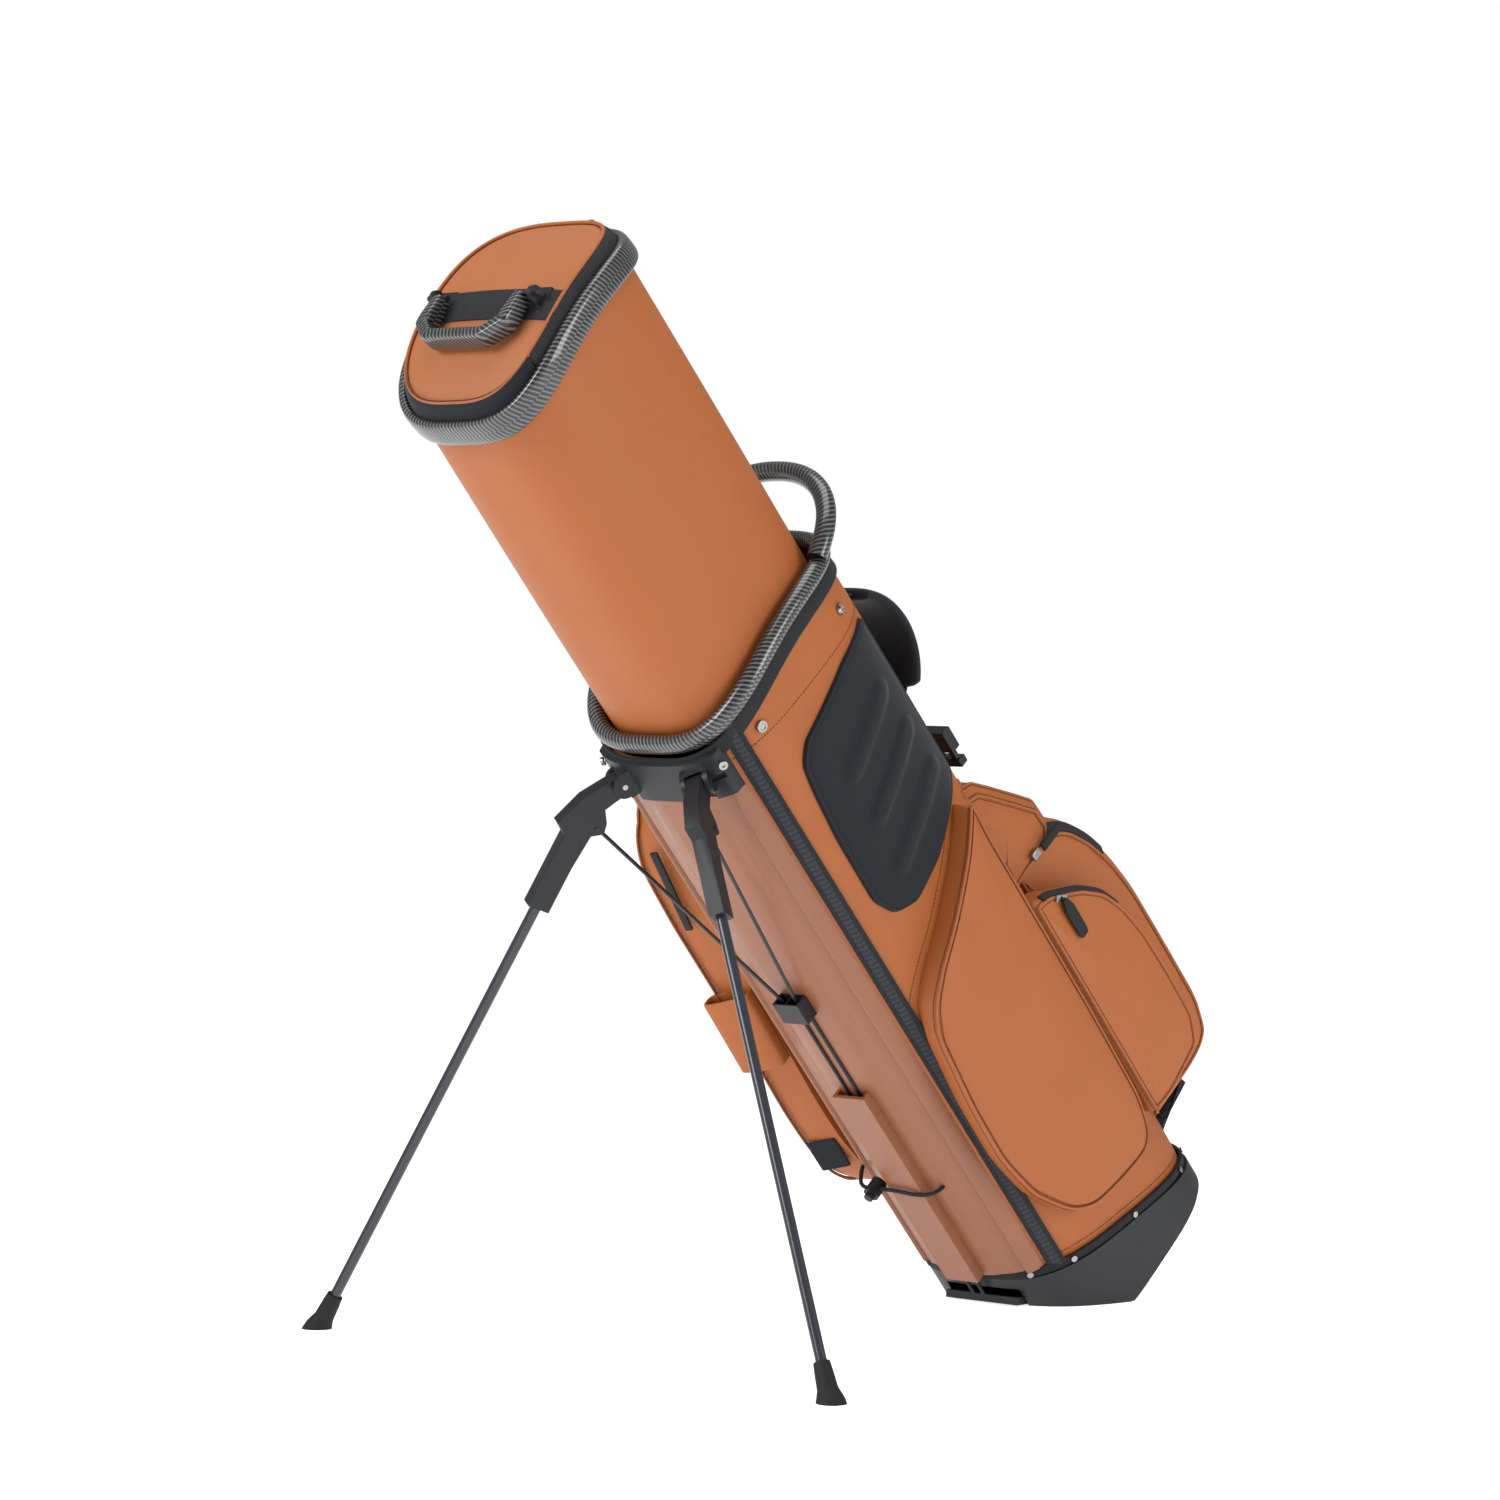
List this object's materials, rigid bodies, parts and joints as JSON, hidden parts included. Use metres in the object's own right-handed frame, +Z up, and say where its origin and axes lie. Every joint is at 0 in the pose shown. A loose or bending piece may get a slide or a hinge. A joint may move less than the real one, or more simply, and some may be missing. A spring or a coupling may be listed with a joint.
{
  "type": "golf bag",
  "caption": "Golf bag with a telescoping hood under a zipped lid, leaning on two fold-out legs, with moulded spine, loop handle, pockets and shoulder strap.",
  "frame": {"origin": "middle of the sloped toe of the base where it stands on the floor", "axes": "+Z up from the floor; -X the way the bag leans, towards its legs; Y across the bag"},
  "size_m": [1.0357, 0.737, 1.1149],
  "materials": {
    "tan_leather": "soft satin grain",
    "tan_shell": "satin moulded shell",
    "carbon_trim": "woven stripes under clear coat",
    "black_plastic": "fine moulded satin",
    "black_fabric": "tight weave",
    "black_webbing": "ribbed webbing",
    "zip_black": "coil zip and tape",
    "nickel": "polished nickel",
    "leg_carbon": "dark woven tube",
    "black_rubber": "matt rubber",
    "steel_black": "black coated steel",
    "white_webbing": "plain webbing",
    "divider_fabric": "brushed lining",
    "black_mesh": "open mesh"
  },
  "bodies": {
    "bag": {"body_shell": "tan_leather", "divider_grid": "divider_fabric", "spine_shell": "tan_shell", "spine_strips": "black_webbing", "collar_ring": "carbon_trim", "collar_band": "black_webbing", "collar_handle": "carbon_trim", "hip_pad": "black_fabric", "side_pocket": "tan_leather", "side_zip": "zip_black", "valuables_pocket": "tan_leather", "ball_pocket": "tan_leather", "ball_zip": "zip_black", "cooler_pocket": "tan_leather", "cooler_zip": "zip_black", "far_pocket": "tan_leather", "far_zip": "zip_black", "tee_sleeve": "tan_leather", "towel_loop": "white_webbing", "label_patch": "black_fabric", "mesh_gore": "black_mesh", "snap_buttons": "nickel", "strap_pad": "black_fabric", "strap_webbing": "black_webbing", "strap_tab": "nickel", "buckle_socket": "black_plastic", "stand_bracket": "black_plastic", "bracket_screws": "nickel", "leg_pins": "nickel", "loop_cord": "black_webbing", "base_shell": "black_plastic", "base_band": "black_webbing", "base_rivets": "nickel"},
    "side_slider": {"side_slider": "nickel"},
    "side_pull": {"side_pull": "black_rubber"},
    "ball_slider": {"ball_slider": "nickel"},
    "ball_pull": {"ball_pull": "black_rubber"},
    "cooler_slider": {"cooler_slider": "nickel"},
    "cooler_pull": {"cooler_pull": "black_rubber"},
    "buckle_tongue": {"buckle_tongue": "black_plastic"},
    "near_leg": {"knuckle_near": "black_plastic", "leg_near": "leg_carbon", "foot_near": "black_rubber"},
    "far_leg": {"knuckle_far": "black_plastic", "leg_far": "leg_carbon", "foot_far": "black_rubber"},
    "near_rod": {"rod_near": "steel_black"},
    "far_rod": {"rod_far": "steel_black"},
    "rod_carriage": {"rod_carriage": "black_plastic"},
    "base_flap": {"base_flap": "black_plastic"},
    "cord_lock": {"cord_lock": "black_plastic"},
    "lock_button": {"lock_button": "black_plastic"},
    "hood": {"hood_tube": "tan_leather", "hood_rim": "carbon_trim", "lid_zip": "zip_black", "lid_sliders": "nickel"},
    "lid": {"lid_panel": "tan_leather", "lid_hinge": "black_fabric", "lid_mounts": "black_plastic"},
    "lid_handle": {"lid_handle": "carbon_trim"}
  },
  "joints": [
    {"name": "hood_slide", "type": "slide", "parent": "bag", "child": "hood", "axis": [-0.6547, 0, 0.7559], "range_m": [-0.33, 0]},
    {"name": "lid_hinge", "type": "hinge", "parent": "hood", "child": "lid", "pos_m": [-0.85754, 0, 0.90078], "axis": [0, -1, 0], "range_deg": [0, 110]},
    {"name": "lid_handle_hinge", "type": "hinge", "parent": "lid", "child": "lid_handle", "pos_m": [-0.81535, 0, 1.01492], "axis": [0, 1, 0], "range_deg": [0, 150]},
    {"name": "near_leg_hinge", "type": "hinge", "parent": "bag", "child": "near_leg", "pos_m": [-0.584, -0.053, 0.552], "axis": [0.4106, -0.8396, 0.3556], "range_deg": [0, 57.2]},
    {"name": "far_leg_hinge", "type": "hinge", "parent": "bag", "child": "far_leg", "pos_m": [-0.584, 0.053, 0.552], "axis": [-0.4106, -0.8396, -0.3556], "range_deg": [0, 57.2]},
    {"name": "near_rod_hinge", "type": "hinge", "parent": "near_leg", "child": "near_rod", "pos_m": [-0.59619, -0.07744, 0.50837], "axis": [-0.4106, 0.8396, -0.3556], "range_deg": [0, 65.7]},
    {"name": "far_rod_hinge", "type": "hinge", "parent": "far_leg", "child": "far_rod", "pos_m": [-0.59619, 0.07744, 0.50837], "axis": [0.4106, 0.8396, 0.3556], "range_deg": [0, 65.7]},
    {"name": "rod_carriage_slide", "type": "slide", "parent": "bag", "child": "rod_carriage", "axis": [-0.6547, 0, 0.7559], "range_m": [-0.039, 0]},
    {"name": "base_flap_hinge", "type": "hinge", "parent": "bag", "child": "base_flap", "pos_m": [-0.03354, 0, 0.00665], "axis": [0, -1, 0], "range_deg": [0, 32]},
    {"name": "side_slider_slide", "type": "slide", "parent": "bag", "child": "side_slider", "axis": [0.6547, 0, -0.7559], "range_m": [0, 0.075]},
    {"name": "side_pull_hinge", "type": "hinge", "parent": "side_slider", "child": "side_pull", "pos_m": [-0.22774, -0.1215, 0.47429], "axis": [-0.7559, 0, -0.6547], "range_deg": [0, 100]},
    {"name": "ball_slider_slide", "type": "slide", "parent": "bag", "child": "ball_slider", "axis": [0.8532, 0, 0.5216], "range_m": [0, 0.03]},
    {"name": "ball_pull_hinge", "type": "hinge", "parent": "ball_slider", "child": "ball_pull", "pos_m": [-0.12618, -0.0944, 0.47495], "axis": [0.6547, 0, -0.7559], "range_deg": [0, 90]},
    {"name": "cooler_slider_slide", "type": "slide", "parent": "bag", "child": "cooler_slider", "axis": [1, 0, 0.0017], "range_m": [0, 0.045]},
    {"name": "cooler_pull_hinge", "type": "hinge", "parent": "cooler_slider", "child": "cooler_pull", "pos_m": [-0.13206, -0.1296, 0.42553], "axis": [-0.7559, 0, -0.6547], "range_deg": [0, 100]},
    {"name": "buckle_slide", "type": "slide", "parent": "bag", "child": "buckle_tongue", "axis": [0.6547, 0, -0.7559], "range_m": [0, 0.018]},
    {"name": "cord_lock_slide", "type": "slide", "parent": "bag", "child": "cord_lock", "axis": [0, 1, 0], "range_m": [-0.006, 0.004]},
    {"name": "lock_button_slide", "type": "slide", "parent": "cord_lock", "child": "lock_button", "axis": [0.7559, 0, 0.6547], "range_m": [0, 0.0015], "stiffness_N_per_m": 400}
  ],
  "couplings": [
    {"joint": "far_leg_hinge", "follows": "near_leg_hinge", "ratio": 1},
    {"joint": "near_rod_hinge", "follows": "near_leg_hinge", "ratio": 1.1398},
    {"joint": "far_rod_hinge", "follows": "near_leg_hinge", "ratio": 1.1398},
    {"joint": "rod_carriage_slide", "follows": "near_leg_hinge", "m_per_rad": -0.03858},
    {"joint": "base_flap_hinge", "follows": "near_leg_hinge", "ratio": 0.55}
  ]
}
